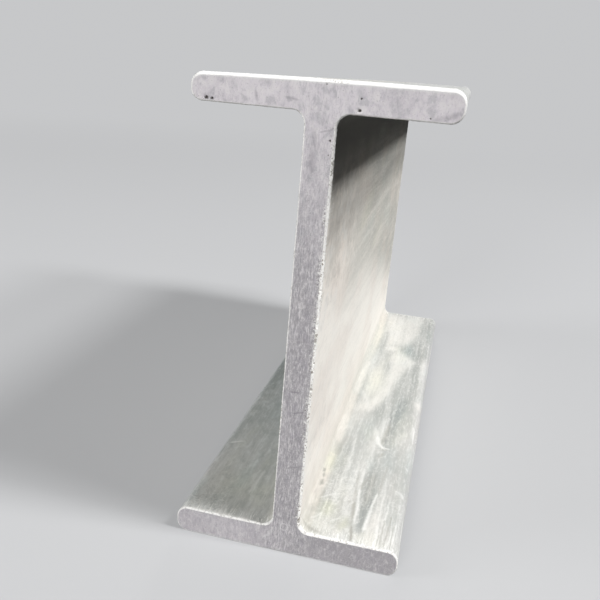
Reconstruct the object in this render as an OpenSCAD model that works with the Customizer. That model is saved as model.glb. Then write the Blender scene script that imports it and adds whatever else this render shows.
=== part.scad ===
// Pultruded fibreglass I-beam: a short piece sawn from stock and standing on one flange.
// The origin is the middle of the underside. X runs across the flanges, Y along the beam and Z up.

/* [Section] */
// Height of the section, from the underside of one flange to the top of the other
section_h = 100; // [60:1:300]
// Width of each flange
flange_w = 50; // [30:1:150]
// Thickness of each flange
flange_t = 6; // [4:0.1:15]
// Thickness of the web
web_t = 6; // [4:0.1:15]

/* [Rounded edges] */
// Radius of the concave fillets where the web grows out of the flanges
root_r = 2.5; // [1:0.1:6]
// Radius of the rounded long edges at the toes of the flanges
toe_r = 2.5; // [1.6:0.1:4]

/* [Sawn piece] */
// Length between the two sawn ends
beam_l = 158; // [50:1:3000]
// Width of the bevel that eases the edge all round each sawn end
end_bevel = 0.7; // [0.2:0.1:1.5]

/* [Hidden] */

grp_colour = [0.79, 0.80, 0.77];

// Facets of a full circle in a preview
curve_fn = 72;

// The toe radius leaves this much of the flange's side flat, however thin the flange is
toe_flat_min = 0.4;
toe = min(toe_r, (flange_t - toe_flat_min) / 2);

half_l = beam_l / 2;
half_web = web_t / 2;
// Clear height between the flanges
channel_h = section_h - 2 * flange_t;
// The web runs this far into each flange, where it is one with it
web_root = flange_t / 2;

// Outline, along Y, of a plate of thickness t whose two ends are bevelled on both faces
module bevelled_outline(t) {
    face = t / 2;
    lip = face - end_bevel;
    shoulder = half_l - end_bevel;
    polygon([
        [lip, -half_l], [face, -shoulder], [face, shoulder], [lip, half_l],
        [-lip, half_l], [-face, shoulder], [-face, -shoulder], [-lip, -half_l]
    ]);
}

// Round bar along Y of radius r whose radius changes by flare over the bevel at each end
module bar_along_y(r, flare) {
    shoulder = half_l - end_bevel;
    rotate([90, 0, 0])
        rotate_extrude($fn = curve_fn)
            polygon([
                [0, -half_l], [r + flare, -half_l], [r, -shoulder],
                [r, shoulder], [r + flare, half_l], [0, half_l]
            ]);
}

// Both signs of X
module both_sides() {
    for (side = [0, 1]) mirror([side, 0, 0]) children();
}

// One flange about its own middle: a plate with four rounded long edges
module flange() {
    flat_w = flange_w - 2 * toe;
    flat_t = flange_t - 2 * toe;
    translate([-flat_w / 2, 0, 0])
        rotate([0, 90, 0])
            linear_extrude(flat_w) bevelled_outline(flange_t);
    translate([0, 0, -flat_t / 2])
        linear_extrude(flat_t) bevelled_outline(flange_w);
    both_sides()
        for (z = [-flat_t / 2, flat_t / 2])
            translate([flat_w / 2, 0, z]) bar_along_y(toe, -end_bevel);
}

// Upright plate between the flanges, rooted in both
module web() {
    translate([0, 0, flange_t - web_root])
        linear_extrude(channel_h + 2 * web_root) bevelled_outline(web_t);
}

// Concave fillet along Y in the corner of the bottom flange and the +X face of the web
module root_fillet() {
    sunk = end_bevel;
    difference() {
        translate([half_web - sunk, -half_l, flange_t - sunk])
            cube([root_r + sunk, beam_l, root_r + sunk]);
        translate([half_web + root_r, 0, flange_t + root_r])
            bar_along_y(root_r, end_bevel);
    }
}

// The whole pultrusion is one piece of glass and resin
module i_beam() {
    color(grp_colour) {
        translate([0, 0, flange_t / 2]) flange();
        translate([0, 0, section_h - flange_t / 2]) flange();
        web();
        both_sides() {
            root_fillet();
            translate([0, 0, section_h]) mirror([0, 0, 1]) root_fillet();
        }
    }
}

i_beam();
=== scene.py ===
"""Looks of a short sawn piece of pultruded fibreglass I-beam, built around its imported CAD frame.

The beam stands on its bottom flange with its origin under its middle: X runs across the
flanges, Y along the beam away from the camera, and Z up. One dense mesh replaces the CAD node,
because the worn sawn edges, the pits and the ripples of the drawn surface are all geometry.
"""

import math
from itertools import zip_longest

import bpy
import numpy as np
from mathutils import Matrix, Vector, geometry, noise


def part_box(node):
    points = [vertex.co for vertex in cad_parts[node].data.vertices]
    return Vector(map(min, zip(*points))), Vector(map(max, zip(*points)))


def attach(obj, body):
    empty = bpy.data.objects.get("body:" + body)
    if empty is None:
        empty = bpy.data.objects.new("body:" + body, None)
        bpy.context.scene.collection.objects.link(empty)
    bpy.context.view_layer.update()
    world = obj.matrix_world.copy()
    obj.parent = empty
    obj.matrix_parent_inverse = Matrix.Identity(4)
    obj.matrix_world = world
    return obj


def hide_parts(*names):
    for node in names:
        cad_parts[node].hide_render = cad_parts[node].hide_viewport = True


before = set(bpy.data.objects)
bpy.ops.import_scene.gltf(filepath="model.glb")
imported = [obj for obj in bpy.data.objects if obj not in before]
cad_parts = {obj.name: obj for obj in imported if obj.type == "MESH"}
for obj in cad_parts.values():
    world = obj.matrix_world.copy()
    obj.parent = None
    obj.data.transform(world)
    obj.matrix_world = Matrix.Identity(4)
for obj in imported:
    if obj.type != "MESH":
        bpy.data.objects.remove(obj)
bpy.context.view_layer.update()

MM = 0.001
NODE = "i_beam"

# The section, whose overall size comes from the frame
LOW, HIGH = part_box(NODE)
HALF_WIDTH = HIGH.x
HEIGHT = HIGH.z
HALF_LENGTH = HIGH.y
FLANGE_T = 6.0 * MM
HALF_WEB = 3.0 * MM
ROOT_R = 2.5 * MM
TOE_R = 2.5 * MM

# The same in mm, for the masks and the materials
END_MM, TOP_MM = HALF_LENGTH / MM, HEIGHT / MM
FLANGE_MM, WEB_MM = FLANGE_T / MM, HALF_WEB / MM

# How far the top face lies under true: all over, and more at the left tip, in mm
TOP_WEAR = 0.07
TIP_DROP = 0.68
TIP_X = 22.0

# Mesh density, from the torn edges of the sawn ends to the middle of the beam
EDGE_STEP = 0.24 * MM
BODY_STEP = 1.35 * MM
FACE_STEP = 0.46 * MM

# The flat strip between the worn bevel and a sawn face, the clear strip inside that, in mm, and
# how far the sawn face lies under the true end
RIM_GAP = 0.1 * MM
CORE_GAP = 0.2
SAW_RECESS = 0.06 * MM

# How far in the sawn face, the fine zone and the medium zone reach, and the step to the body
FACE_DEPTH = 0.3 * MM
FINE_DEPTH = 1.5 * MM
MEDIUM_DEPTH = 4.5 * MM
BODY_GAP = 0.8 * MM

# Where the rings of points lie, as shares of the bevel and of those two zones
BEVEL_RINGS = (0.0, 0.22, 0.48, 0.76, 1.0)
FINE_RINGS = (0.12, 0.3, 0.6, 1.0)
MEDIUM_RINGS = (0.2, 0.6, 1.0)

# Width of the worn bevel in mm: at a plain edge, more where it faces up and at the beam's top,
# less where it faces down, and what the right and the left of the web add and take off
BEVEL = 0.36
BEVEL_UP, BEVEL_CROWN, BEVEL_DOWN = 0.2, 0.08, 0.12
BEVEL_WEB_RIGHT, BEVEL_WEB_LEFT = 0.06, 0.16

# Depth of the drawn surface's ripples, streaks and print of the mat, and of the strokes and
# dents in a sawn face, in mm
RIPPLE, STREAK, PRINT = 0.05, 0.03, 0.03
STROKE, DENT = 0.02, 0.03


# -------------------- outline of the section


def line_piece(start, end):
    """A straight stretch of the outline and its outward normal, travelling anticlockwise."""
    a, b = np.array(start), np.array(end)
    length = np.linalg.norm(b - a)
    along = (b - a) / length
    outward = np.array([along[1], -along[0]])

    def at(t):
        return a + np.outer(t, b - a), np.tile(outward, (len(t), 1))

    return length, at


def arc_piece(centre, radius, start_deg, end_deg):
    """A round stretch. One that turns clockwise is hollow, so its normal points at its centre."""
    turn = math.radians(end_deg - start_deg)

    def at(t):
        angle = math.radians(start_deg) + turn * t
        radial = np.stack([np.cos(angle), np.sin(angle)], 1)
        return np.array(centre) + radius * radial, radial * math.copysign(1, turn)

    return radius * abs(turn), at


def right_half():
    """The outline's pieces from the middle of the underside, up the right side, to the top."""
    shelf = HEIGHT - FLANGE_T
    toe_x = HALF_WIDTH - TOE_R
    root_x = HALF_WEB + ROOT_R
    return [
        line_piece((0, 0), (toe_x, 0)),
        arc_piece((toe_x, TOE_R), TOE_R, -90, 0),
        line_piece((HALF_WIDTH, TOE_R), (HALF_WIDTH, FLANGE_T - TOE_R)),
        arc_piece((toe_x, FLANGE_T - TOE_R), TOE_R, 0, 90),
        line_piece((toe_x, FLANGE_T), (root_x, FLANGE_T)),
        arc_piece((root_x, FLANGE_T + ROOT_R), ROOT_R, 270, 180),
        line_piece((HALF_WEB, FLANGE_T + ROOT_R), (HALF_WEB, shelf - ROOT_R)),
        arc_piece((root_x, shelf - ROOT_R), ROOT_R, 180, 90),
        line_piece((root_x, shelf), (toe_x, shelf)),
        arc_piece((toe_x, shelf + TOE_R), TOE_R, -90, 0),
        line_piece((HALF_WIDTH, shelf + TOE_R), (HALF_WIDTH, HEIGHT - TOE_R)),
        arc_piece((toe_x, HEIGHT - TOE_R), TOE_R, 0, 90),
        line_piece((toe_x, HEIGHT), (0, HEIGHT)),
    ]


def section_outline():
    """Points (x, z) round the whole section and their normals, as many as a multiple of four
    on each piece, so that every second and every fourth point keeps the corners."""
    points, normals = [], []
    for length, at in right_half():
        count = 4 * max(1, math.ceil(length / (4 * EDGE_STEP)))
        p, n = at(np.arange(count + 1) / count)
        points.append(p[:-1])
        normals.append(n[:-1])
    right_p, right_n = np.concatenate(points), np.concatenate(normals)
    top_p, top_n = np.array([[0, HEIGHT]]), np.array([[0, 1.0]])
    flip = np.array([-1, 1])
    left_p, left_n = right_p[:0:-1] * flip, right_n[:0:-1] * flip
    return np.concatenate([right_p, top_p, left_p]), np.concatenate([right_n, top_n, left_n])


# -------------------- relief


def waves(points, size, seed=0.0):
    """Smooth noise from -1 to 1 at the points, whose bumps are about size mm long on each axis."""
    scaled = points / (np.array(size) * MM) + seed
    return np.array([noise.noise(Vector(p)) for p in scaled])


def ramp(low, high, value):
    """0 up to low and 1 from high on, with a soft ramp between. low may be the larger."""
    t = np.clip((value - low) / (high - low), 0, 1)
    return t * t * (3 - 2 * t)


def on_section(points, y=0.0):
    """Section points as points in space at one place along the beam."""
    return np.stack([points[:, 0], np.full(len(points), y), points[:, 1]], 1)


def facing(normals, axis, way):
    """How far each normal points that way along the axis, 0 to 1."""
    return np.clip(normals[:, axis] * way, 0, 1)


def by_web(points):
    """1 on the sides of the web, fading out round the root fillets."""
    return ramp(HALF_WEB + ROOT_R, HALF_WEB, np.abs(points[:, 0]))


def bevel_widths(points, normals, end):
    """How wide the worn bevel is at each point of the outline of one end: widest where the edge
    faces up, and narrowest under the flanges and along the shelves of the bottom one."""
    up, down = facing(normals, 1, 1), facing(normals, 1, -1)
    right, left = facing(normals, 0, -end), facing(normals, 0, end)
    crown = ramp(HEIGHT - FLANGE_T, HEIGHT, points[:, 1])
    side, low = -points[:, 0] * end, points[:, 1] < HEIGHT / 2
    low_left = ramp(-HALF_WEB, -ROOT_R - HALF_WEB, side) * low
    low_right = ramp(HALF_WEB, HALF_WEB + ROOT_R, side) * low
    width = BEVEL + (BEVEL_UP + BEVEL_CROWN * crown) * up - BEVEL_DOWN * down
    width = width + by_web(points) * (BEVEL_WEB_RIGHT * right - BEVEL_WEB_LEFT * left)
    width = width * (1 - 0.4 * low_left - 0.3 * low_right)
    wander = waves(on_section(points, y=7 * MM * end), 6, 3.7 * end)
    return width * (1 + 0.22 * wander) * MM


def raggedness(points, normals, end):
    """Where the torn glass stands out of the edge, from 0 to 1: beside the web, most of all on
    its right side below the top, and in patches on the shelves of the bottom flange."""
    up, right = facing(normals, 1, 1), facing(normals, 0, -end)
    low_shelf = ramp(FLANGE_T + ROOT_R, FLANGE_T, points[:, 1])
    lower = ramp(HEIGHT - 4 * MM, HEIGHT - 26 * MM, points[:, 1])
    patchy = ramp(-0.3, 0.35, waves(on_section(points, y=5 * MM * end), 5, 13.0))
    on_right, on_left = 0.35 + 0.65 * lower * patchy, 0.15 + 0.4 * patchy
    rag = 0.05 + by_web(points) * (right * on_right + on_left * (1 - right))
    on_shelf = np.where(points[:, 0] * end > 0, 0.3, 0.15 + 0.45 * patchy)
    return np.clip(rag + on_shelf * low_shelf * np.maximum(up, 0.6 * right), 0, 1)


def skin_relief(place):
    """Depth of the drawn surface under the true section: long ripples and the print of the mat."""
    ripple = 0.5 + 0.5 * waves(place, (5, 42, 5), 11.0)
    streak = 0.5 + 0.5 * waves(place, (1.9, 26, 1.9), 23.0)
    mat = 0.5 + 0.5 * waves(place, (4, 7, 4), 31.0)
    return (RIPPLE * ripple + STREAK * streak + PRINT * mat) * MM


# Greyer patches where the mat lies deep under the resin, on top of the bottom flange to the
# right of the web: outlines as (distance from the front end, x) in mm, softness in mm, strength
VEILS = [
    ([(62, 10.6), (66, 11.6), (70, 12.6), (78, 14.6), (85, 16), (97, 17.8), (107, 20.2),
      (107, 22.4), (92, 22.4), (78, 22.4), (60, 23), (50, 19.5), (44, 17.4), (43.6, 15.7),
      (56, 15.4), (57, 12.4)], 1, 0.52),
    ([(43.6, 16), (50, 15.6), (62, 15.8), (74, 17), (75, 20), (62, 19), (52, 17.8), (46, 17.2)],
     0.7, 1),
    ([(84, 20), (92, 19), (101, 19.4), (104, 21.4), (92, 22.4), (84, 22.2)], 1.4, 0.65),
    ([(117, 14.6), (110.5, 18.2), (109, 20.6), (113, 25), (158, 25), (158, 21.2), (146, 20.2),
      (130, 19.2), (123, 17.6)], 1.1, 0.72),
    ([(116, 15.6), (111, 18.2), (112, 19.4), (120, 19), (123, 17.4), (120, 16)], 1.2, 0.62),
    ([(25, 16.4), (21, 17.4), (15, 17.1), (9, 16.5), (4, 16.1), (4, 14.9), (9, 14.7), (14, 14.5),
      (20, 13.9)], 0.5, 1.05),
    ([(37, 15.3), (30, 16.4), (24, 17.3), (15, 17), (18, 14.2), (25, 14), (31, 15)], 1, 1),
]

# Milkier areas, in the same place and form
PEARLS = [
    ([(63, 4.4), (63, 9.8), (70, 12.2), (78, 13.6), (86, 14.8), (98, 16.8), (107, 19.8),
      (110, 18.4), (112, 13), (108, 11), (104, 12.6), (98, 12.8), (92, 12), (80, 10.4), (70, 8.4),
      (66, 5)], 0.9, 0.5),
    ([(114, 8.4), (119, 9.2), (122, 13), (126, 16.5), (134, 18.4), (146, 19.4), (155, 19.8),
      (155, 6.4), (134, 6.2), (134, 8.6)], 1.1, 0.42),
]

# Soft greyer and milkier dabs on the tops of the bottom flange: x and distance from the front
# end, reach both ways in mm, strength
SHADES = [
    (5.6, 41, 1.6, 5.5, 0.42), (7.4, 38.5, 1.6, 3, 0.38), (4.6, 9, 1.3, 8, 0.44),
    (7.2, 13, 3.2, 7, 0.42), (7.4, 119, 0.9, 17, 0.32), (5.5, 76, 0.6, 15, 0.3),
    (11.4, 97, 1.2, 8, 0.2), (10.8, 108, 2.6, 3, 0.25), (7.2, 101, 1.2, 5, 0.25),
    (7.5, 29, 3.4, 8, 0.3), (12.4, 25, 0.8, 6, 0.3), (22.2, 144, 2.6, 14, 0.85),
    (18.6, 68, 1.6, 6, 0.6), (19.4, 45, 0.7, 6, 0.35), (12.8, 61, 1.2, 4, 0.35),
    (23.6, 30, 1.4, 9, 0.3), (20, 34, 3.4, 16, 0.24), (19.5, 53, 2.5, 8, 0.3),
]
GLOWS = [
    (8.8, 84, 3, 17, 0.62), (15.8, 104, 2.4, 3.6, 0.62), (10.8, 117, 2.2, 3.4, 0.5),
    (18.3, 8, 1.4, 9, 0.5), (10.4, 3, 3.4, 2.6, 0.3), (23.4, 73, 1, 3.2, 0.8),
    (23, 100, 0.7, 9, 0.4), (4, 52, 1.2, 15, 0.5), (4.2, 128, 1.6, 24, 0.5), (4.1, 30, 1, 6, 0.5),
    (3.9, 86, 1, 20, 0.5), (22.6, 3, 2, 4, 0.25), (6.8, 60, 2.4, 8, 0.2), (-17, -1, 9, 4, 0.5),
    (-9, 0, 5, 2.6, 0.45), (13, 46, 1.2, 8, 0.18),
]

# Yellow and bluish green dabs, in the same places and form
GOLD = [
    (4.4, 30.5, 1.8, 5, 0.75), (7.2, 11, 2, 3, 0.9), (11.9, 6.3, 1.3, 2.2, 0.9),
    (8.6, 86, 3, 12, 0.4), (4.6, 128, 1.6, 16, 0.35), (-15, 12, 6, 7, 0.4),
]
MINT = [
    (19, 66, 2, 8, 0.4), (16.6, 116, 2.4, 7, 1), (16, 105, 2.4, 4, 0.4), (18.6, 36, 1.4, 9, 0.5),
    (-14, 90, 14, 70, 1.2), (10, 52, 3, 8, 0.5),
]


def patches(places, spots):
    """How strongly the soft dabs cover each place on top of the bottom flange."""
    x, y, z = (places / MM).T
    depth = y + END_MM + 1.5 * waves(places, 3, 71.0)
    x = x + 0.6 * waves(places, 2.5, 73.0)
    total = np.zeros(len(places))
    for cx, cy, rx, ry, strength in spots:
        away = ((x - cx) / rx) ** 2 + ((depth - cy) / ry) ** 2
        total = np.maximum(total, strength * np.exp(-away))
    return total * (np.abs(z - FLANGE_MM) < 1.6)


# Distances count for less along the beam, so that the drawn areas fade out longer that way
VEIL_SPREAD = np.array([0.3, 1.0])


def side_distance(points, polygon):
    """How far each point is from the outline of the polygon, negative inside it."""
    best = np.full(len(points), np.inf)
    for start, end in zip(polygon, np.roll(polygon, -1, 0)):
        along = end - start
        share = np.clip(((points - start) @ along) / (along @ along), 0, 1)
        best = np.minimum(best, np.linalg.norm(points - start - share[:, None] * along, axis=1))
    return np.where(inside(points, polygon), -best, best)


def drawn_areas(places, areas):
    """How strongly the drawn areas cover each place, with edges that sway a little."""
    x, y, _ = (places / MM).T
    along = 3.0 * waves(places, (5, 12, 5), 90.0)
    across = 0.8 * waves(places, (4, 10, 4), 93.0)
    spot = np.stack([y + END_MM + along, x + across], 1)
    total = np.zeros(len(places))
    for outline, softness, strength in areas:
        polygon = np.array(outline, dtype=float)
        gap = side_distance(spot * VEIL_SPREAD, polygon * VEIL_SPREAD)
        total = np.maximum(total, strength * ramp(1.5 * softness, -softness, gap))
    return total


def drawn_top(places):
    """Which places are on top of the bottom flange, to the right of the web."""
    x, _, z = (places / MM).T
    return (x > WEB_MM) & (z > FLANGE_MM - 1.2) & (z < FLANGE_MM + 1.5)


def grey_and_painted_shade_mask(places):
    """How grey the drawn surface is, about 0 to 1: drawn grey patches and dabs on the flange that
    faces the camera and soft drifts elsewhere, with painted shade that greys its left twin more and
    more to the back, and the web above its foot towards the back, where less light falls."""
    x, y, z = (places / MM).T
    depth = y + END_MM
    drift = waves(places, (6, 30, 9), 80.0)
    drift = drift + 0.5 * waves(places, (2.5, 12, 4), 85.0)
    on_web = np.abs(x) < WEB_MM + 0.6
    twin = (x < -WEB_MM) * (z < TOP_MM / 2)
    grey_and_painted_shade = np.where(on_web, 0.08, 0.3) * ramp(-0.1, 0.75, drift)
    # Painted shade: the left of the bottom flange greys more and more to the back, and the web
    # above its foot towards the back
    grey_and_painted_shade = np.maximum(grey_and_painted_shade, ramp(12, 100, depth) * twin)
    grey_and_painted_shade = np.maximum(grey_and_painted_shade, 0.25 * ramp(95, 150, depth) * on_web * ramp(20, 36, z))
    top = drawn_top(places)
    drawn = np.maximum(drawn_areas(places[top], VEILS), patches(places[top], SHADES))
    grey_and_painted_shade[top] = np.maximum(0.2 * grey_and_painted_shade[top], drawn)
    return grey_and_painted_shade


def sawn_tone_and_painted_shade(places):
    """How much darker the sawn face is, 0 to 1: painted shade down the web and on the foot, where
    less light falls lower on the face, more on the right of the foot, and random drifts.
    """
    x, y, z = (places / MM).T
    foot = ramp(FLANGE_MM + 4, FLANGE_MM, z)
    down = ramp(98, 56, z) * (1 - foot)
    right = ramp(-9, 7, -x * np.sign(y))
    return np.clip(down + (0.5 + 0.45 * right) * foot + 0.15 * waves(places, 9, 77.0), 0, 1)


def dusk_mask(places):
    """Painted shade, 0 to 1: the web is painted dark in its corner under the top flange, where the
    flange's shadow falls.
    """
    x, _, z = (places / MM).T
    under = ramp(81, 89, z + 2 * waves(places, 14, 66.0))
    under = under * (z < (HEIGHT - FLANGE_T) / MM + 0.5)
    return under * ramp(HALF_WIDTH / MM - 4, 10, np.abs(x))


def milk_mask(places):
    """Where the resin over the glass is paler, 0 to 1: in dabs and drawn areas on the bottom
    flange, and on the web, where it is partly painted light: paler low down, reaching higher
    towards the front, where more light falls."""
    x, y, z = (places / MM).T
    depth = y + END_MM
    drift = waves(places, (6, 36, 12), 99.0)
    web = ramp(WEB_MM + 3.5, WEB_MM + 1, np.abs(x)) * ramp(4, 12, z)
    # Painted light: the web's pale zone reaches higher towards the front, where more light falls
    level = 61 - 0.235 * depth
    high = 0.38 * ramp(84, 70, z) * ramp(75, 20, depth)
    foot = 0.35 * ramp(20, 8, z) * ramp(120, 80, depth)
    low = ramp(level + 15, level - 9, z + 5 * drift) * (1 - foot)
    milk = np.maximum(web * np.maximum(high, low), patches(places, GLOWS))
    top = drawn_top(places)
    milk[top] = np.maximum(milk[top], drawn_areas(places[top], PEARLS))
    return np.clip(milk, 0, 1)


def reed_mask(places):
    """Where the rovings show as many fine straight lines, 0 to 1: at the front right corner."""
    x, y, z = (places / MM).T
    depth = y + END_MM
    corner = ramp(17, 20, x) * ramp(24, 8, depth) * (z < FLANGE_MM + 1)
    return 0.16 + 0.84 * corner


def fleece_mask(places):
    """Where curled strands of the mat show, 0 to 1: by the sawn ends, on the upper web, less so
    on its hidden side, and in drifts elsewhere."""
    x, y, z = (places / MM).T
    depth, behind = y + END_MM, END_MM - np.abs(y)
    drift = 0.25 * ramp(0.1, 0.6, waves(places, (9, 22, 12), 95.0))
    near_end = 0.35 * ramp(48, 12, behind)
    low = z < FLANGE_MM + 1.5
    foot = low * ramp(3.2, 4.5, x) * ramp(14, 12, x) * ramp(36, 24, depth)
    corner = low * ramp(-13, -16, x) * ramp(15, 5, depth)
    web = (np.abs(x) < WEB_MM + 2) * ramp(62, 20, behind)
    side = np.where(x > 0, np.where(y < 0, 1.0, 0.6), 0.35)
    high = web * ramp(40, 62, z) * ramp(86, 81, z) * side
    patch = np.maximum(np.maximum(0.5 * foot, 0.7 * corner), high)
    return np.clip(np.maximum(patch, drift + near_end * (x > 0)), 0, 1)


def sagged(places):
    """The piece as it was drawn, not quite true: the top flange thins a little to its left tip."""
    x, z = places[:, 0] / MM, places[:, 2]
    upper = np.clip((z - (HEIGHT - FLANGE_T)) / FLANGE_T, 0, 1)
    drop = TOP_WEAR + TIP_DROP * ((TIP_X - np.clip(x, -TIP_X, TIP_X)) / (2 * TIP_X)) ** 2
    lowered = places.copy()
    lowered[:, 2] -= upper * drop * MM
    return lowered


# -------------------- the beam's mesh


class Shell:
    """Vertices, faces and the masks that the materials read."""

    def __init__(self):
        self.places, self.faces, self.kinds = [], [], []
        self.masks = {"wear": [], "sawn": [], "rag": []}
        self.count = 0

    def add_points(self, places, *masks):
        """Adds the points with their wear, sawn and rag, 0 if left out, and returns their ids."""
        self.places.append(places)
        for name, values in zip_longest(self.masks, masks, fillvalue=0.0):
            self.masks[name].append(np.broadcast_to(values, len(places)))
        self.count += len(places)
        return np.arange(self.count - len(places), self.count)

    def add_faces(self, faces, kind):
        self.faces.extend(faces)
        self.kinds.extend([kind] * len(faces))


SKIN, SAWN, OUTER = 0, 1, 2


def join(shell, near, far, kind, flip):
    """Faces between a ring and the next one, which has as many points or half as many."""
    if len(near) == len(far):
        shapes = [(near, np.roll(near, -1), np.roll(far, -1), far)]
    else:
        a, b, c = near[0::2], near[1::2], np.roll(near, -2)[0::2]
        p, q = far, np.roll(far, -1)
        shapes = [(a, b, p), (b, c, q), (p, b, q)]
    for shape in shapes:
        faces = np.stack(shape, 1)
        shell.add_faces((faces[:, ::-1] if flip else faces).tolist(), kind)


def build_end(shell, outline, normals, end):
    """The sawn face, its bevel and the zone behind it. end is -1 at the front, 1 at the back.
    Returns the medium ring that the body joins."""
    flip = end < 0
    widths = bevel_widths(outline, normals, end)
    rag = raggedness(outline, normals, end)

    def ring(points, ways, inset, depth, *masks):
        moved = points - ways * inset[:, None]
        y = np.broadcast_to(end * (HALF_LENGTH - depth), len(points))
        return shell.add_points(np.stack([moved[:, 0], y, moved[:, 1]], 1), *masks)

    fringe = on_section(outline, y=31 * MM * end)
    crumbs = waves(fringe, 0.55, 5.0) + 0.7 * waves(fringe, 0.3, 9.0)
    # Painted highlight: the rim of the sawn face is painted paler where the edge faces up at the
    # top of the beam
    glow = 0.5 * facing(normals, 1, 1) * ramp(HEIGHT - FLANGE_T, HEIGHT, outline[:, 1])
    rings = [ring(outline, normals, widths + RIM_GAP, SAW_RECESS, glow, 1.0)]
    for share in BEVEL_RINGS:
        shift = fringe + np.array([0, 1, 0]) * share * 2 * MM
        torn = 0.75 * waves(shift, 0.5, 40.0) + 0.6 * waves(shift, 0.28, 50.0)
        lift = (0.1 + 0.3 * rag) * MM * torn * math.sin(math.pi * (0.15 + 0.6 * share))
        turn = share * math.pi / 2
        inset = widths * (1 - (share + math.sin(turn)) / 2) - lift
        depth = SAW_RECESS + widths * (share + 1 - math.cos(turn)) / 2
        depth = np.maximum(depth + 0.12 * MM * rag * crumbs * share, 0)
        rings.append(ring(outline, normals, inset, depth, 1.0, 1.0, rag))
    for share in FINE_RINGS:
        depth = widths + (FINE_DEPTH - widths) * share
        place = on_section(outline, y=end * (HALF_LENGTH - FINE_DEPTH * share))
        fade = (1 - share) ** 2
        chip = 0.16 * MM * rag * fade * waves(place, 0.4, 44.0)
        inset = skin_relief(place) * (0.4 + 0.6 * share) - chip
        wear = np.where(share < 0.5, (0.25 + 0.75 * rag) * fade, 0.6 * rag * fade)
        rings.append(ring(outline, normals, inset, depth, wear, 0.0, rag * fade))
    kinds = [SAWN] * len(BEVEL_RINGS) + [SKIN] * len(FINE_RINGS)
    for near, far, kind in zip(rings, rings[1:], kinds):
        join(shell, near, far, kind, flip)

    medium, ways = outline[0::2], normals[0::2]
    last = rings[-1]
    for share in MEDIUM_RINGS:
        depth = FINE_DEPTH + (MEDIUM_DEPTH - FINE_DEPTH) * share
        place = on_section(medium, y=end * (HALF_LENGTH - depth))
        made = ring(medium, ways, skin_relief(place), depth)
        join(shell, last, made, SKIN, flip)
        last = made
    fill_face(shell, rings[0], outline - normals * (widths + RIM_GAP)[:, None], normals, end)
    return last


def inside(points, polygon):
    """Whether each point lies in the polygon, by counting the sides to the right of it."""
    x, y = points[:, :1], points[:, 1:]
    ax, ay = polygon.T
    bx, by = np.roll(polygon, -1, 0).T
    spans = (ay > y) != (by > y)
    rise = np.where(by == ay, 1, by - ay)
    crossing = ax + (y - ay) * (bx - ax) / rise
    return (spans & (x < crossing)).sum(1) % 2 == 1


# Pits left in the sawn faces where a void in the resin was cut open: x, z and radius in mm, and
# their depth and the rings of points in them as shares of that radius
PIT_DEPTH = 0.9
PIT_RINGS = (0.45, 0.8, 1.2)
PITS = [
    (-21.8, 94.8, 0.4), (-20.7, 94.75, 0.3), (6.9, 97, 0.22), (6.8, 94.9, 0.34), (2.4, 91.4, 0.2),
    (2, 89.2, 0.22), (1.9, 86.6, 0.14), (19.2, 94.7, 0.16), (2.1, 62, 0.14), (2.1, 35.2, 0.16),
    (0.5, 99, 0.14),
]


def face_points(core, pits):
    """The points of a net inside the core of a sawn face, with rings of their own in the pits."""
    xs = np.arange(-HALF_WIDTH, HALF_WIDTH, FACE_STEP)
    zs = np.arange(0, HEIGHT, FACE_STEP)
    grid = np.stack(np.meshgrid(xs, zs), -1).reshape(-1, 2)
    grid[:, 0] += 0.5 * FACE_STEP * (np.round(grid[:, 1] / FACE_STEP) % 2)
    inner = grid[inside(grid, core)]
    angles = np.arange(8) * math.pi / 4
    rings = []
    for x, z, radius in pits:
        inner = inner[np.hypot(inner[:, 0] - x, inner[:, 1] - z) > radius * 1.5]
        wobble = 1 + 0.25 * np.sin(3 * angles + 7 * x / MM)
        for share in PIT_RINGS:
            reach = radius * share * wobble
            rings.append(np.stack([x + reach * np.cos(angles), z + reach * np.sin(angles)], 1))
        rings.append(np.array([[x, z]]))
    extra = np.concatenate(rings)
    return np.concatenate([inner, extra[inside(extra, core)]])


def face_depth(inner, pits, end):
    """How deep the strokes and dents lie at each point of a sawn face, and how deep its pits."""
    marks = on_section(inner, y=17 * MM * end)
    strokes = 0.5 + 0.5 * waves(marks, (0.7, 1, 5), 60.0)
    dents = 0.5 + 0.5 * waves(marks, 2.2, 70.0)
    hole = np.zeros(len(inner))
    for x, z, radius in pits:
        near = np.hypot(inner[:, 0] - x, inner[:, 1] - z) / radius
        hole = np.maximum(hole, (1 - ramp(0.35, 1.05, near)) * radius)
    return SAW_RECESS + (STROKE * strokes + DENT * dents) * MM, hole


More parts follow.
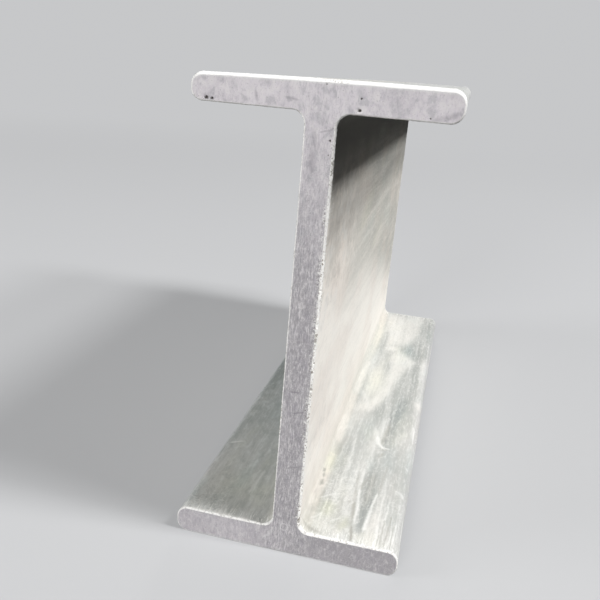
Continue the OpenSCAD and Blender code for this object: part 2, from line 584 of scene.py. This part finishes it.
def fill_face(shell, rim, rim_points, normals, end):
    """The flat of one sawn face, as a fine net inside its rim, with saw marks and pits."""
    pits = np.array(PITS) * MM * np.array([-end, 1, 1])
    inner = face_points(rim_points - normals * CORE_GAP * MM, pits)
    depth, hole = face_depth(inner, pits, end)
    y = end * (HALF_LENGTH - (depth + PIT_DEPTH * hole))
    # Painted highlight: the sawn face is painted paler just under the beam's top edge
    glow = 0.3 * ramp(HEIGHT - 1.5 * MM, HEIGHT - 0.6 * MM, inner[:, 1])
    # The sawn mask drops to 0 in the bottom of each pit, which the sawn material paints nearly
    # black as painted shade
    sawn = 1.0 - ramp(0, 0.1 * MM, hole)
    inner_ids = shell.add_points(np.stack([inner[:, 0], y, inner[:, 1]], 1), glow, sawn)
    flat_points = [Vector(p) for p in np.concatenate([rim_points, inner]) / MM]
    edges = [(i, (i + 1) % len(rim)) for i in range(len(rim))]
    net = geometry.delaunay_2d_cdt(flat_points, edges, [], 1, 1e-6, True)
    points, _, faces, origins = net[:4]
    points = np.array([list(p) for p in points])
    middles = np.array([points[face].mean(0) for face in faces]) * MM
    ids = np.concatenate([rim, inner_ids])[[origin[0] for origin in origins]]
    kept = [ids[face].tolist() for face, keep in zip(faces, inside(middles, rim_points)) if keep]
    shell.add_faces([face[::-1] for face in kept] if end > 0 else kept, SAWN)


def build_body(shell, front, back, outline, normals):
    """The drawn length between the two medium rings, in a net of half their density."""
    coarse, ways = outline[0::4], normals[0::4]
    reach = HALF_LENGTH - MEDIUM_DEPTH - BODY_GAP
    count = math.ceil(2 * reach / BODY_STEP)
    last = front
    for y in np.linspace(-reach, reach, count + 1):
        place = on_section(coarse, y)
        moved = coarse - ways * skin_relief(place)[:, None]
        made = shell.add_points(on_section(moved, y))
        join(shell, last, made, SKIN, True)
        last = made
    join(shell, back, last, SKIN, False)


def outer_faces(places, shell):
    """Whether each face lies on the outside of a flange: its plain side or one of its toes."""
    x, z = np.abs(places[:, 0]), places[:, 2]
    plain = np.minimum(z, HEIGHT - z) < FLANGE_T - TOE_R
    flag = plain | (x > HALF_WIDTH - 0.6 * TOE_R)
    return np.array([all(flag[corner] for corner in face) for face in shell.faces])


def add_object(name, data):
    made = bpy.data.objects.new(name, data)
    bpy.context.scene.collection.objects.link(made)
    return made


def make_beam(materials):
    """The whole beam in one mesh, with its masks as attributes and its three materials."""
    outline, normals = section_outline()
    shell = Shell()
    front = build_end(shell, outline, normals, -1)
    back = build_end(shell, outline, normals, 1)
    build_body(shell, front, back, outline, normals)
    mesh = bpy.data.meshes.new("pultruded_beam")
    places = np.concatenate(shell.places)
    outer = outer_faces(places, shell)
    mesh.from_pydata(np.clip(sagged(places), LOW, HIGH).tolist(), [], shell.faces)
    masks = {name: np.concatenate(parts) for name, parts in shell.masks.items()}
    # The sawn faces take their tone, partly painted shade, from the mask that greys the drawn
    # surface elsewhere
    at_ends = np.abs(places[:, 1]) > HALF_LENGTH - FACE_DEPTH
    masks["grey_and_painted_shade"] = np.where(at_ends, sawn_tone_and_painted_shade(places), grey_and_painted_shade_mask(places))
    masks.update(fleece=fleece_mask(places), milk=milk_mask(places), dusk=dusk_mask(places))
    masks.update(reed=reed_mask(places), gold=patches(places, GOLD), mint=patches(places, MINT))
    for name, values in masks.items():
        layer = mesh.attributes.new(name, "FLOAT", "POINT")
        layer.data.foreach_set("value", values.astype(np.float32))
    for material in materials:
        mesh.materials.append(material)
    kinds = np.where(outer & (np.array(shell.kinds) == SKIN), OUTER, shell.kinds)
    mesh.polygons.foreach_set("material_index", kinds.astype(np.int32))
    mesh.shade_smooth()
    mesh.validate()
    return add_object("pultruded_beam", mesh)


# -------------------- materials


class Nodes:
    """Short names for the shader nodes of one material. Places are in millimetres."""

    def __init__(self, name):
        self.material = bpy.data.materials.new(name)
        self.material.use_nodes = True
        self.tree = self.material.node_tree
        self.shader = self.tree.nodes["Principled BSDF"]
        where = self.put("TexCoord", {}, out="Object")
        self.place = self.put("VectorMath", {0: where, "Scale": 1 / MM}, operation="SCALE")

    def put(self, kind, inputs, out=0, **settings):
        node = self.tree.nodes.new("ShaderNode" + kind)
        for key, value in settings.items():
            setattr(node, key, value)
        for key, value in inputs.items():
            self.feed(node.inputs[key], value)
        return node.outputs[out]

    def feed(self, socket, value):
        if isinstance(value, bpy.types.NodeSocket):
            self.tree.links.new(value, socket)
        else:
            socket.default_value = value

    def set(self, **values):
        for name, value in values.items():
            self.feed(self.shader.inputs[name.replace("_", " ")], value)

    def mask(self, name):
        return self.put("Attribute", {}, out="Fac", attribute_name=name)

    def stretched(self, sizes, place=None, shift=0.0):
        """The place divided by a size on each axis, so that noise comes out that long."""
        scale = {0: place or self.place, 1: tuple(1 / s for s in sizes), 2: (shift,) * 3}
        return self.put("VectorMath", scale, operation="MULTIPLY_ADD")

    def noise(self, sizes, place=None, shift=0.0, detail=2.0, rough=0.5, twist=0.0, out="Fac"):
        """Noise whose bumps are about as long as the sizes, at this place or at one given."""
        inputs = {"Vector": self.stretched(sizes, place, shift), "Scale": 1.0}
        inputs.update({"Detail": detail, "Roughness": rough, "Distortion": twist})
        return self.put("TexNoise", inputs, out=out)

    def parts(self, place):
        """The three coordinates of a place."""
        outputs = self.put("SeparateXYZ", {0: place}).node.outputs
        return outputs["X"], outputs["Y"], outputs["Z"]

    def math(self, operation, a, b=0.0, c=0.0):
        return self.put("Math", {0: a, 1: b, 2: c}, operation=operation)

    def times(self, value, *others):
        for other in others:
            value = self.math("MULTIPLY", value, other)
        return value

    def scaled(self, value, by, plus):
        return self.math("MULTIPLY_ADD", value, by, plus)

    def largest(self, value, *others):
        for other in others:
            value = self.math("MAXIMUM", value, other)
        return value

    def abs(self, value):
        return self.math("ABSOLUTE", value)

    def band(self, value, low, high, to_low=0.0, to_high=1.0):
        """A soft step between two outputs, as the value goes from low to high, or from high
        down to low where low is the larger."""
        ends = {"From Min": low, "From Max": high, "To Min": to_low, "To Max": to_high}
        return self.put("MapRange", {"Value": value, **ends}, interpolation_type="SMOOTHSTEP")

    def mix(self, factor, a, b, blend="MIX"):
        a, b = (rgb(*colour) if isinstance(colour, tuple) else colour for colour in (a, b))
        inputs = {0: factor, 6: a, 7: b}
        return self.put("Mix", inputs, out=2, data_type="RGBA", blend_type=blend)

    def paint(self, factor, colour, blend="MIX"):
        """Puts a layer of a colour over the base colour."""
        self.base = self.mix(factor, self.base, colour, blend)

    def paint_all(self, rows):
        """Puts on layers that each show inside a mask, by up to a share, where a pattern goes
        from low to high."""
        for where, pattern, low, high, share, colour in rows:
            self.paint(self.times(self.band(pattern, low, high, 0.0, share), where), colour)

    def bump(self, height, depth_mm, strength):
        return self.put("Bump", {"Height": height, "Distance": depth_mm * MM, "Strength": strength})

    def warped(self, size, amount):
        """The place pushed about by up to the amount, in mm, by noise of that size."""
        push = self.noise((size,) * 3, out="Color")
        centred = self.put("VectorMath", {0: push, 1: (0.5, 0.5, 0.5)}, operation="SUBTRACT")
        scaled = self.put("VectorMath", {0: centred, "Scale": 2 * amount}, operation="SCALE")
        return self.put("VectorMath", {0: self.place, 1: scaled}, operation="ADD")

    def strands(self, place, size, thin, shift=0.0):
        """Thin curled lines, 1 on a line, as where strands of a mat show through the resin."""
        field = self.noise((size,) * 3, place, shift, detail=1.0, twist=1.5)
        return self.band(self.abs(self.math("SUBTRACT", field, 0.5)), 0.0, thin, 1.0, 0.0)


def rgb(red, green, blue):
    return red, green, blue, 1.0


# Marks on top of the bottom flange: x and y of the start and of the end in mm, with y from the
# front end, half width in mm, and how much of the mark shows
PALE_MARKS = [
    (17.6, 42.7, 16.2, 43, 0.26, 0.5), (16.2, 43, 15, 44.6, 0.4, 0.6),
    (15, 44.6, 14.3, 48, 0.5, 0.55), (14.3, 48, 13.4, 51.5, 0.6, 0.3),
    (15.2, 49, 14.9, 58, 0.5, 0.22), (24.2, 49, 23.5, 57, 0.4, 0.4),
    (22.6, 22.8, 24.4, 21.4, 0.45, 0.3), (23.7, 34.6, 24.5, 33.4, 0.3, 0.35),
    (9, 65.5, 8.2, 70, 0.8, 0.18), (8.2, 70, 6.2, 75, 0.8, 0.18), (14, 8.5, 13.9, 14, 0.3, 0.5),
    (13.9, 14, 13.4, 20.5, 0.26, 0.45), (16.5, 6, 16.9, 13, 0.35, 0.6),
    (16.9, 13, 17.6, 20, 0.24, 0.5), (5.4, 14.8, 7.6, 17, 0.26, 0.28),
    (9.2, 6.6, 10.6, 8, 0.25, 0.26), (4.8, 6, 6.2, 8.2, 0.22, 0.26),
    (13.2, 24.5, 13, 30, 0.3, 0.35), (-22.2, 31, -20.4, 32.2, 0.3, 0.4),
    (-11.4, 11, -10.6, 20, 0.3, 0.25),
]
DARK_MARKS = [
    (14.4, 1.2, 13.8, 5.4, 0.26, 0.85), (13.4, 7, 13.6, 8.6, 0.2, 0.25),
    (13.5, 9.6, 13, 14.6, 0.42, 0.72), (12.8, 15.4, 12.5, 20, 0.34, 0.36),
    (12.3, 21, 12.2, 27.5, 0.24, 0.35), (13.6, 22, 14.4, 26.5, 0.35, 0.35),
    # The next two marks are painted shadow under the pale whisker drawn at the same place in
    # PALE_MARKS
    (16.2, 41.5, 17.3, 42.1, 0.26, 0.5), (16.1, 38.2, 16.5, 39.2, 0.4, 0.45),
    (15.8, 46, 16.6, 55, 0.6, 0.45), (15.8, 27, 15.4, 17, 0.8, 0.35),
    (4, 19.8, 4.1, 20.6, 0.35, 0.95), (3.9, 23, 3.9, 23.6, 0.24, 0.8),
    (3.6, 24.8, 3.7, 25.6, 0.24, 0.85), (11.8, 15, 11.8, 15.5, 0.2, 0.55),
    (13.1, 18.2, 13.1, 18.8, 0.18, 0.55), (5.2, 16.7, 4.7, 10.7, 0.4, 0.35),
    (4.7, 10.7, 4.3, 4.5, 0.4, 0.35), (4.4, 2.6, 5.8, 2, 0.6, 0.6),
    (20.5, 2.2, 20.6, 10.5, 0.15, 0.5), (21.4, 1.8, 22, 12.5, 0.15, 0.5),
    (22.7, 1.4, 22.9, 9, 0.13, 0.4), (19.9, 1.2, 20.1, 4.8, 0.13, 0.4),
    (18, 22, 18.6, 34, 0.3, 0.25), (5.2, 36, 6.2, 45, 0.6, 0.3),
]

# Marks on the front sawn face, in the same form with z for y
SAWN_PALE_MARKS = [(-4.4, 3, -3.4, 4, 0.2, 0.5), (-3.6, 4.2, -2.8, 5.6, 0.16, 0.4)]
SAWN_DARK_MARKS = [
    (-1.1, 38.7, 0.3, 38.8, 0.14, 0.7), (0, 34.1, 1.8, 34.6, 0.13, 0.6),
    (-0.6, 21.1, 2.2, 22, 0.12, 0.4), (0.2, 90.6, 2.2, 91.1, 0.12, 0.4),
    (-1, 84.2, -1.1, 86.2, 0.5, 0.4), (-0.8, 88.4, -1, 89.8, 0.4, 0.3),
    # The second mark on the next line is painted shade on the rounded lower corner of the top
    # flange's right tip
    (-6.4, 96, -4.8, 95.8, 0.2, 0.4), (20.6, 94.6, 23.6, 95.6, 0.4, 0.3),
    (-12.4, 96.4, -12.1, 95.2, 0.2, 0.35),
]

# A round mark at the foot of the web, on the same face: centre x and z, and radius
ROUND_MARK = (-0.3, 6.4, 0.8)

# Distances past the ends of a mark count for less by this share, so that it tapers out
MARK_TAPER = 0.35


def marks_mask(n, marks, u, v):
    """How much any of the marks shows at u and v, the coordinates that they are drawn in."""
    shown = []
    for ax, ay, bx, by, width, share in marks:
        length = math.hypot(bx - ax, by - ay)
        ux, uy = (bx - ax) / length, (by - ay) / length
        along = n.scaled(u, ux, n.scaled(v, uy, -ax * ux - ay * uy))
        across = n.scaled(u, -uy, n.scaled(v, ux, ax * uy - ay * ux))
        past = n.math("SUBTRACT", n.abs(n.math("SUBTRACT", along, length / 2)), length / 2)
        away = n.math("ADD", n.abs(across), n.largest(n.times(past, MARK_TAPER), 0.0))
        shown.append(n.band(away, 0.0, 2.2 * width, share, 0.0))
    return n.largest(*shown)


def crushed_glass(n):
    """The worn edge: pale crushed fibre, broken into light and dark crumbs where it is torn,
    and whitened towards the top of the beam as a painted highlight.
    """
    size = n.stretched((0.3, 0.3, 0.34), n.warped(0.5, 0.2))
    crumb = n.parts(n.put("TexVoronoi", {"Vector": size, "Scale": 1.0}, out="Color"))[0]
    chips = n.noise((4, 9, 5), shift=33.0, detail=1.0)
    crumb = n.math("SUBTRACT", crumb, n.band(chips, 0.5, 0.64, 0.0, 0.2))
    torn = n.mix(n.band(crumb, 0.06, 0.16), (0.30, 0.275, 0.24), (0.74, 0.72, 0.685))
    torn = n.mix(n.band(crumb, 0.25, 0.45), torn, (0.97, 0.96, 0.93))
    grain = n.noise((0.5, 0.5, 0.5), shift=6.0, detail=3.0, rough=0.7)
    plain = n.mix(n.band(grain, 0.35, 0.65), (0.74, 0.73, 0.72), (0.87, 0.86, 0.84))
    # Painted highlight: the worn edge is painted whiter towards the top of the beam
    top = n.band(n.parts(n.place)[2], TOP_MM - 3.0, TOP_MM - 1.0, 0.0, 0.75)
    plain = n.mix(top, plain, (0.94, 0.935, 0.92))
    return n.mix(n.mask("rag"), plain, torn)


def skin_material(name, shine, coat, gloss, marked):
    """The drawn surface: clear resin over pale glass, streaked by the rovings along the beam,
    greyer where the mat lies deep, and curled with loose strands near the sawn ends. It also
    holds painted light and shade: paler low on the web, greyer towards the back, and dark in the
    web's corner under the top flange. gloss is taken off its roughness, and marked adds the
    marks on top of the bottom flange."""
    n = Nodes(name)
    x, y, z = n.parts(n.place)
    drift, flow = n.warped(7.0, 1.6), n.warped(3.5, 0.5)
    cloud = n.noise((6, 34, 8), drift, detail=3.0)
    tint = n.noise((8, 26, 10), drift, 7.3)
    warm = n.noise((10, 30, 16), drift, 2.9, detail=1.0)
    roving = n.noise((0.9, 26, 1.1), flow, rough=0.6)
    broad = n.noise((2.6, 40, 3), flow, 12.0, detail=1.0)
    dash = n.noise((0.5, 2.6, 0.55), n.warped(1.8, 0.45), 17.0, rough=0.6)
    lines = n.noise((0.5, 16, 0.55), n.warped(5.0, 0.4), 14.0, detail=1.0, rough=0.7)
    spur = n.noise((0.28, 4, 0.28), n.warped(1.5, 0.3), 21.0, detail=1.0)
    fleck = n.noise((1.4, 4.2, 1.4), n.warped(2.6, 0.8), 41.0, detail=3.0, rough=0.6)
    wisp = n.noise((4, 10, 6.5), n.warped(6.0, 2.4), 27.0, rough=0.6, twist=0.5)
    tuft = n.noise((2, 3.6, 3.2), n.warped(3.0, 1.2), 29.0, rough=0.6, twist=0.5)
    speck = n.noise((0.4, 0.5, 0.4), shift=9.0, rough=0.7)
    curl = n.strands(n.warped(2.6, 0.9), 3.0, 0.06)
    knot = n.strands(n.warped(1.9, 0.6), 2.2, 0.05, shift=4.4)

    # Where each pattern shows: the left of the bottom flange is shaded and flecked, and the
    # upper web is wispy
    fleece, milk, reed = n.mask("fleece"), n.mask("milk"), n.mask("reed")
    on_web = n.band(n.abs(x), WEB_MM + 3.0, WEB_MM + 1.0)
    wispy = n.times(on_web, fleece)
    woolly = n.times(fleece, n.scaled(on_web, -0.65, 1.0))
    shaded = n.times(n.math("LESS_THAN", x, -WEB_MM), n.math("LESS_THAN", z, FLANGE_MM + 2.0))
    flecked = n.scaled(shaded, 0.85, 0.15)
    clear = n.scaled(milk, -0.7, n.scaled(wispy, -0.75, 1.0))
    clear = n.times(clear, n.scaled(shaded, -0.5, 1.0))
    grey_and_painted_shade = n.times(n.mask("grey_and_painted_shade"), n.scaled(roving, 1.1, n.times(dash, 0.9)))
    rosy = n.times(n.band(warm, 0.46, 0.66, 0.0, 0.35), n.scaled(on_web, 0.7, 0.3))
    tinted = n.times(on_web, n.scaled(milk, -0.7, 1.0))
    near_end = n.band(n.abs(y), END_MM - 6.0, END_MM - 0.4, 0.0, 0.75)
    near_end = n.times(near_end, n.band(dash, 0.4, 0.56, 0.25, 1.0))

    n.base = n.mix(n.band(cloud, 0.38, 0.66), (0.55, 0.55, 0.53), (0.475, 0.485, 0.47))
    n.paint_all([
        (1.0, tint, 0.52, 0.7, 0.35, (0.65, 0.655, 0.55)),
        (1.0, tint, 0.46, 0.3, 0.35, (0.55, 0.615, 0.60)),
    ])
    # Paler resin on the flange, and painted light on the web: paler low down and towards the front
    n.paint(milk, (0.945, 0.92, 0.87))
    n.paint(n.scaled(wispy, 0.32, rosy), (0.79, 0.72, 0.67))
    # Greys the drawn surface where the mat lies deep, and as painted shade towards the back and on
    # the left of the bottom flange
    n.paint(grey_and_painted_shade, (0.335, 0.35, 0.34))
    n.paint_all([
        (clear, broad, 0.5, 0.7, 0.26, (0.46, 0.48, 0.46)),
        (clear, broad, 0.5, 0.3, 0.3, (0.82, 0.82, 0.80)),
        (clear, roving, 0.5, 0.72, 0.22, (0.44, 0.45, 0.425)),
        (clear, roving, 0.47, 0.28, 0.26, (0.86, 0.86, 0.84)),
        (clear, dash, 0.5, 0.68, 0.3, (0.43, 0.44, 0.42)),
        (clear, dash, 0.48, 0.32, 0.24, (0.84, 0.84, 0.82)),
        (flecked, fleck, 0.52, 0.68, 0.42, (0.36, 0.38, 0.365)),
        (flecked, fleck, 0.5, 0.32, 0.36, (0.74, 0.75, 0.73)),
        (reed, lines, 0.5, 0.72, 0.42, (0.42, 0.425, 0.40)),
        (reed, lines, 0.49, 0.3, 0.5, (0.92, 0.92, 0.90)),
        (wispy, wisp, 0.52, 0.68, 0.4, (0.50, 0.48, 0.46)),
        (wispy, wisp, 0.5, 0.34, 0.55, (0.78, 0.775, 0.76)),
        (wispy, tuft, 0.52, 0.66, 0.28, (0.49, 0.465, 0.44)),
        (wispy, tuft, 0.48, 0.36, 0.5, (0.86, 0.82, 0.78)),
    ])
    n.paint(tinted, (1.0, 0.975, 0.935), "MULTIPLY")
    n.paint(n.mask("gold"), (0.99, 1.0, 0.88), "MULTIPLY")
    n.paint(n.mask("mint"), (0.915, 0.965, 0.985), "MULTIPLY")
    n.paint(n.times(curl, woolly, 0.5), (0.88, 0.875, 0.84))
    n.paint(n.times(knot, woolly, 0.4), (0.42, 0.41, 0.375))
    n.paint_all([
        (1.0, speck, 0.7, 0.78, 0.5, (0.34, 0.33, 0.29)),
        (near_end, spur, 0.48, 0.62, 1.0, (0.92, 0.92, 0.89)),
    ])
    if marked:
        u, v, _ = n.parts(n.warped(1.1, 0.28))
        v = n.math("ADD", v, END_MM)
        on_top = n.math("LESS_THAN", n.abs(n.math("SUBTRACT", z, FLANGE_MM)), 1.6)
        dark = n.times(marks_mask(n, DARK_MARKS, u, v), on_top)
        pale = n.times(marks_mask(n, PALE_MARKS, u, v), on_top)
        n.paint(dark, (0.38, 0.37, 0.335))
        n.paint(pale, (0.93, 0.93, 0.91))
    # Painted shade: the web's corner under the top flange is painted dark, where the flange's
    # shadow falls
    n.paint(n.times(n.mask("dusk"), 0.85), (0.255, 0.25, 0.235))
    n.paint(n.mask("wear"), crushed_glass(n))

    strand = n.times(n.math("ADD", curl, knot), woolly)
    height = n.scaled(dash, 0.5, n.scaled(roving, 0.7, strand))
    matt = n.math("ADD", roving, n.times(speck, 0.5))
    rough = n.band(matt, 0.5, 1.1, 0.4 - gloss, 0.6 - gloss)
    n.set(Base_Color=n.base, Roughness=rough, Normal=n.bump(height, 0.05, 0.6))
    n.set(Specular_IOR_Level=shine, Coat_Weight=coat, Coat_Roughness=0.3)
    return n.material


def sawn_material():
    """The cut face: ends of rovings and mat ground flat, dull lilac grey, blotched towards the
    top and finely stroked down the web, with crumbs along its right edge."""
    n = Nodes("sawn_face")
    x, y, z = n.parts(n.place)
    stroke = n.noise((0.21, 0.6, 1.3), n.warped(3.0, 0.4), detail=3.0, rough=0.7)
    mottle = n.noise((1.05, 1, 2), shift=5.0, detail=4.0, rough=0.66, twist=0.8)
    blotch = n.noise((1.8, 1, 2.6), shift=51.0, rough=0.55, twist=0.6)
    broad = n.noise((8, 8, 12), shift=2.0)
    speck = n.noise((0.28, 0.3, 0.32), shift=8.0, rough=0.75)
    crumb = n.noise((0.32, 0.4, 0.36), shift=16.0, rough=0.8)
    ragged = n.noise((4, 9, 5), shift=37.0, detail=1.0)
    size = n.stretched((1.9, 1.9, 2.4), n.warped(2.0, 0.8))
    cell = n.put("TexVoronoi", {"Vector": size, "Scale": 1.0}, feature="DISTANCE_TO_EDGE")

    # Where each pattern shows
    web = n.band(n.abs(x), WEB_MM + 3.0, WEB_MM, 0.3, 1.0)
    web = n.times(web, n.band(z, TOP_MM - 6.0, TOP_MM - 40.0, 0.3, 1.0))
    upper = n.band(z, 45.0, 80.0, 0.25, 1.0)
    fine = n.scaled(upper, -0.4, 0.9)
    side = n.times(x, n.math("SIGN", y), -1.0)
    edge = n.times(n.band(side, 1.5, 2.3), n.math("LESS_THAN", side, WEB_MM))
    edge = n.times(edge, n.band(z, 7.0, 10.0), n.band(z, TOP_MM - 8.0, TOP_MM - 13.0))
    edge = n.times(edge, n.band(ragged, 0.42, 0.6, 0.25, 1.0))

    n.base = n.mix(n.band(broad, 0.35, 0.65), (0.71, 0.67, 0.705), (0.76, 0.72, 0.755))
    # Painted shade: the sawn face is painted darker down the web and on the foot, with random
    # drifts of tone
    n.paint(n.mask("grey_and_painted_shade"), (0.43, 0.41, 0.43))
    n.paint_all([
        (fine, mottle, 0.48, 0.66, 0.65, (0.45, 0.42, 0.465)),
        (fine, mottle, 0.5, 0.33, 0.6, (0.82, 0.79, 0.79)),
        (upper, blotch, 0.5, 0.66, 0.55, (0.47, 0.46, 0.485)),
        (upper, blotch, 0.48, 0.34, 0.45, (0.84, 0.81, 0.81)),
        (web, stroke, 0.49, 0.64, 0.75, (0.34, 0.325, 0.35)),
        (web, stroke, 0.48, 0.34, 0.6, (0.86, 0.84, 0.85)),
        (1.0, cell, 0.09, 0.0, 0.2, (0.78, 0.77, 0.76)),
        (1.0, speck, 0.6, 0.7, 0.55, (0.3, 0.285, 0.3)),
        (1.0, speck, 0.42, 0.32, 0.45, (0.88, 0.87, 0.87)),
    ])
    front = n.math("LESS_THAN", y, 0.0)
    u, _, v = n.parts(n.warped(0.9, 0.15))
    dark = n.times(marks_mask(n, SAWN_DARK_MARKS, u, v), front)
    pale = n.times(marks_mask(n, SAWN_PALE_MARKS, u, v), front)
    mark_x, mark_z, radius = ROUND_MARK
    across, up = n.math("SUBTRACT", u, mark_x), n.math("SUBTRACT", v, mark_z)
    reach = n.math("SQRT", n.scaled(across, across, n.times(up, up)))
    ring = n.band(n.abs(n.math("SUBTRACT", reach, radius)), 0.0, 0.22, 0.5, 0.0)
    n.paint(dark, (0.27, 0.25, 0.28))
    n.paint(n.largest(pale, n.times(ring, front)), (0.85, 0.84, 0.84))
    n.paint_all([
        (edge, crumb, 0.52, 0.6, 0.9, (0.95, 0.94, 0.91)),
        (edge, crumb, 0.44, 0.36, 0.9, (0.3, 0.28, 0.25)),
    ])
    # Painted shade: the bottoms of the pits are painted nearly black
    n.paint(n.math("SUBTRACT", 1.0, n.mask("sawn")), (0.12, 0.11, 0.105))
    n.paint(n.mask("wear"), crushed_glass(n))

    height = n.math("ADD", stroke, n.scaled(speck, 0.6, mottle))
    n.set(Base_Color=n.base, Normal=n.bump(height, 0.06, 0.8))
    n.set(Roughness=0.72, Specular_IOR_Level=0.25)
    return n.material


# -------------------- stage, lights, camera


# Colour of the background, and strength of the world's light
BACKDROP = (0.57, 0.575, 0.585)
AMBIENT = 0.02

# Radii of the floor's rings of points in metres, and points in each
FLOOR_RINGS = (0.3, 0.7, 1.4, 4.0)
FLOOR_TURNS = 64

# How much of the floor's colour near the beam is plain, whatever light falls on it, and how far
# from the beam, in mm, it starts to be more and is all plain
PLAIN_SHARE = 0.42
PLAIN_FROM, PLAIN_ALL = 250.0, 1100.0

# The camera: lens in mm on a 36 mm sensor, place in mm with y from the front end, and turns in
# radians
LENS, SENSOR = 41.66, 36.0
CAMERA_PLACE = (25.43, -125.36, 100.71)
YAW, PITCH, ROLL = 0.2077, -0.3181, -0.0858


def sees_backdrop(tree):
    """1 for the rays that should meet the pale background: the camera's, mirrored and refracted."""
    path = tree.nodes.new("ShaderNodeLightPath").outputs
    seen = path["Is Camera Ray"]
    for name in ("Is Glossy Ray", "Is Transmission Ray"):
        either = tree.nodes.new("ShaderNodeMath")
        either.operation = "MAXIMUM"
        tree.links.new(seen, either.inputs[0])
        tree.links.new(path[name], either.inputs[1])
        seen = either.outputs[0]
    return seen


def stage_material():
    """A pale floor that keeps shadows near the beam and turns into the plain background far from
    it. Light that bounces off it is held back, as off the dark cloth under the real one."""
    n = Nodes("pale_floor")
    seen = sees_backdrop(n.tree)
    n.set(Base_Color=n.mix(seen, (0.05, 0.05, 0.05), (0.58, 0.585, 0.595)))
    n.set(Roughness=0.9, Specular_IOR_Level=0.1)
    away = n.put("VectorMath", {0: n.place}, out="Value", operation="LENGTH")
    far = n.times(n.band(away, PLAIN_FROM, PLAIN_ALL, PLAIN_SHARE, 1.0), seen)
    glow = n.put("Emission", {"Color": rgb(*BACKDROP), "Strength": 1.0})
    both = n.put("MixShader", {0: far, 1: n.shader.outputs[0], 2: glow})
    n.tree.links.new(both, n.tree.nodes["Material Output"].inputs["Surface"])
    return n.material


def make_stage():
    """A wide round floor. The world shows the same pale colour beyond it."""
    places = [(0.0, 0.0, 0.0)]
    for radius in FLOOR_RINGS:
        for i in range(FLOOR_TURNS):
            angle = 2 * math.pi * i / FLOOR_TURNS
            places.append((radius * math.cos(angle), radius * math.sin(angle), 0.0))
    steps = [(i, (i + 1) % FLOOR_TURNS) for i in range(FLOOR_TURNS)]
    faces = [(0, 1 + i, 1 + j) for i, j in steps]
    for ring in range(len(FLOOR_RINGS) - 1):
        a, b = 1 + ring * FLOOR_TURNS, 1 + (ring + 1) * FLOOR_TURNS
        faces.extend((a + i, b + i, b + j, a + j) for i, j in steps)
    mesh = bpy.data.meshes.new("floor")
    mesh.from_pydata(places, [], faces)
    mesh.materials.append(stage_material())
    add_object("floor", mesh)


def make_world():
    """Weak even light from all round, behind the plain background."""
    world = bpy.data.worlds.new("soft_room")
    world.use_nodes = True
    tree = world.node_tree
    light = tree.nodes["Background"]
    light.inputs["Color"].default_value = rgb(1, 1, 1)
    light.inputs["Strength"].default_value = AMBIENT
    shown = tree.nodes.new("ShaderNodeBackground")
    shown.inputs["Color"].default_value = rgb(*BACKDROP)
    mix = tree.nodes.new("ShaderNodeMixShader")
    tree.links.new(sees_backdrop(tree), mix.inputs[0])
    tree.links.new(light.outputs[0], mix.inputs[1])
    tree.links.new(shown.outputs[0], mix.inputs[2])
    tree.links.new(mix.outputs[0], tree.nodes["World Output"].inputs["Surface"])
    bpy.context.scene.world = world


# Lamps: name, azimuth (0 is the camera's side, 90 the beam's right), elevation, distance and
# size in metres, and power in watts
LAMPS = [
    ("mid_right", 89, 36.5, 2.4, 0.42, 29.5),
    ("high_right", 84, 52, 2.4, 0.55, 38.5),
    ("left_fill", -66, 16, 1.6, 0.7, 11.4),
    ("front_fill", -8, 14, 1.4, 0.5, 10.3),
    ("back_fill", 186, 5, 2.4, 0.5, 30.0),
]


def make_lamps():
    """Round lamps that face the beam's middle. Only those on the right show as gloss."""
    target = Vector((0, 0, HEIGHT / 2))
    for name, azimuth, elevation, distance, size, power in LAMPS:
        a, e = math.radians(azimuth), math.radians(elevation)
        away = Vector((math.sin(a) * math.cos(e), -math.cos(a) * math.cos(e), math.sin(e)))
        data = bpy.data.lights.new(name, "AREA")
        data.shape, data.size, data.energy = "DISK", size, power
        lamp = add_object(name, data)
        lamp.location = target + away * distance
        lamp.rotation_euler = away.to_track_quat("Z", "Y").to_euler()
        lamp.visible_camera = False
        lamp.visible_glossy = name.endswith("right")


def make_camera():
    """Close to the front right corner, level with the top of the beam, and a little askew."""
    data = bpy.data.cameras.new("camera")
    data.sensor_width = SENSOR
    data.lens = LENS
    data.clip_start = 0.01
    camera = add_object("camera", data)
    turns = [Matrix.Rotation(a, 3, axis) for a, axis in ((YAW, "Z"), (PITCH, "X"), (ROLL, "Y"))]
    right, forward, up = (turns[0] @ turns[1] @ turns[2]).col
    axes = Matrix((right, up, -forward)).transposed()
    x, y, z = (value * MM for value in CAMERA_PLACE)
    camera.matrix_world = Matrix.Translation((x, y - HALF_LENGTH, z)) @ axes.to_4x4()
    bpy.context.scene.camera = camera


# -------------------- the scene


make_camera()
make_stage()
make_world()
make_lamps()

beam = make_beam([
    skin_material("drawn_skin", shine=0.0, coat=0.05, gloss=0.0, marked=True),
    sawn_material(),
    skin_material("drawn_skin_outside", shine=0.4, coat=0.0, gloss=0.14, marked=False),
])
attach(beam, "root")
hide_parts(NODE)

bpy.context.scene.view_settings.view_transform = "Standard"
